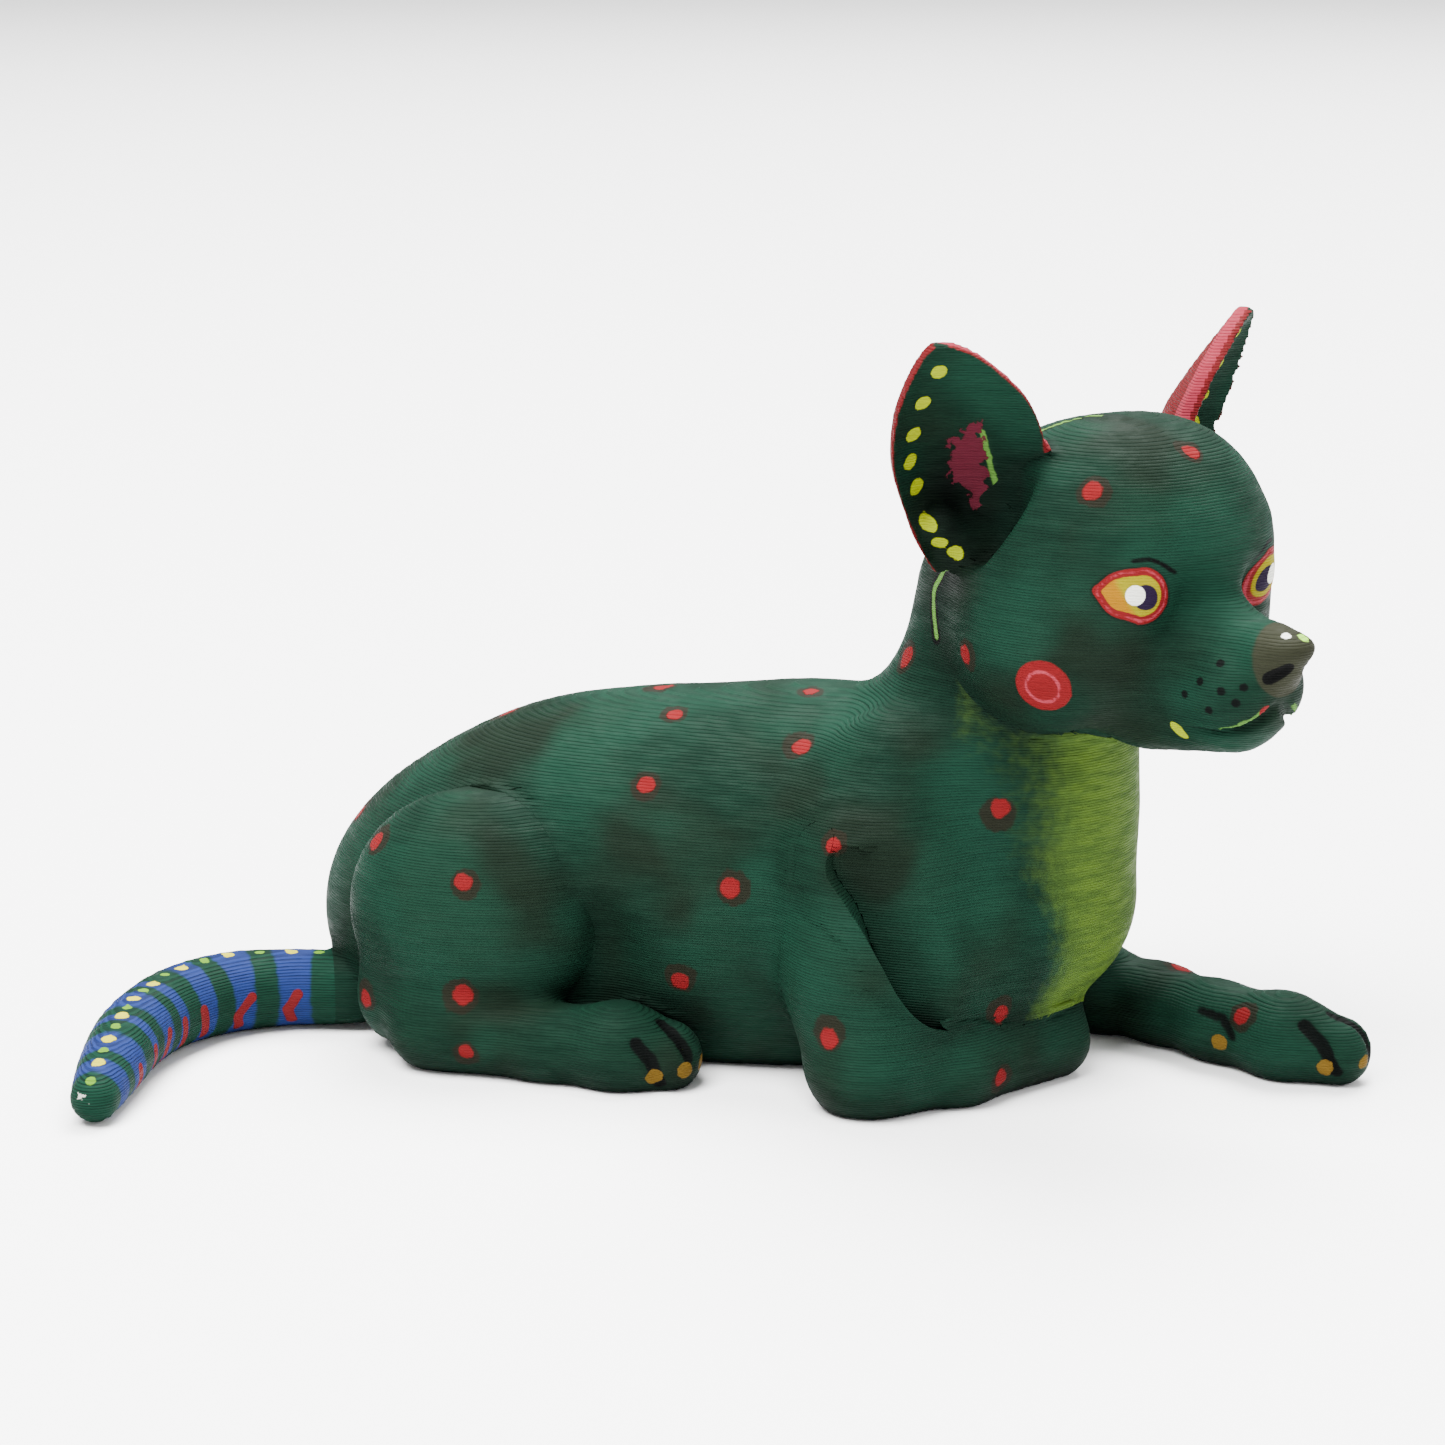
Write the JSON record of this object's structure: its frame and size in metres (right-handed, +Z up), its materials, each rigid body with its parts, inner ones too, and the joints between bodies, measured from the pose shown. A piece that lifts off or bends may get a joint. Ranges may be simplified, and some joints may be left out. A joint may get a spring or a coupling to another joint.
{
  "type": "alebrije dog figure",
  "caption": "Small figure of a dog lying with its head turned, assembled from printed parts on dowels and painted in the alebrije manner.",
  "frame": {"origin": "on the dog's midline, in the flat underside of the torso that rests on the shelf", "axes": "+X the way the body points, nose end; +Y the dog's left; +Z up"},
  "size_m": [0.1303, 0.0756, 0.0783],
  "materials": {
    "body_paint": "dark green acrylic brushed over printed layers, satin",
    "ear_paint": "dark green and red acrylic brushed over printed layers, satin",
    "tail_paint": "blue and green acrylic bands over printed layers, satin",
    "peg_wood": "bare birch dowel"
  },
  "bodies": {
    "figure": {"torso": "body_paint", "head": "body_paint", "foreleg_right": "body_paint", "foreleg_left": "body_paint", "hind_leg_right": "body_paint", "hind_leg_left": "body_paint", "neck_peg": "peg_wood", "hip_peg_right": "peg_wood", "hip_peg_left": "peg_wood", "shoulder_peg_right": "peg_wood", "shoulder_peg_left": "peg_wood"},
    "ear_right": {"ear_right": "ear_paint", "ear_peg_right": "peg_wood"},
    "ear_left": {"ear_left": "ear_paint", "ear_peg_left": "peg_wood"},
    "tail": {"tail": "tail_paint", "tail_peg": "peg_wood"}
  },
  "joints": [
    {"name": "ear_right_pull", "type": "slide", "parent": "figure", "child": "ear_right", "axis": [-0.5865, -0.6371, 0.5001], "range_m": [0, 0.004]},
    {"name": "ear_left_pull", "type": "slide", "parent": "figure", "child": "ear_left", "axis": [0.4247, 0.7547, 0.5001], "range_m": [0, 0.004]},
    {"name": "tail_pull", "type": "slide", "parent": "figure", "child": "tail", "axis": [-0.9241, -0.3821, 0], "range_m": [0, 0.007]}
  ]
}
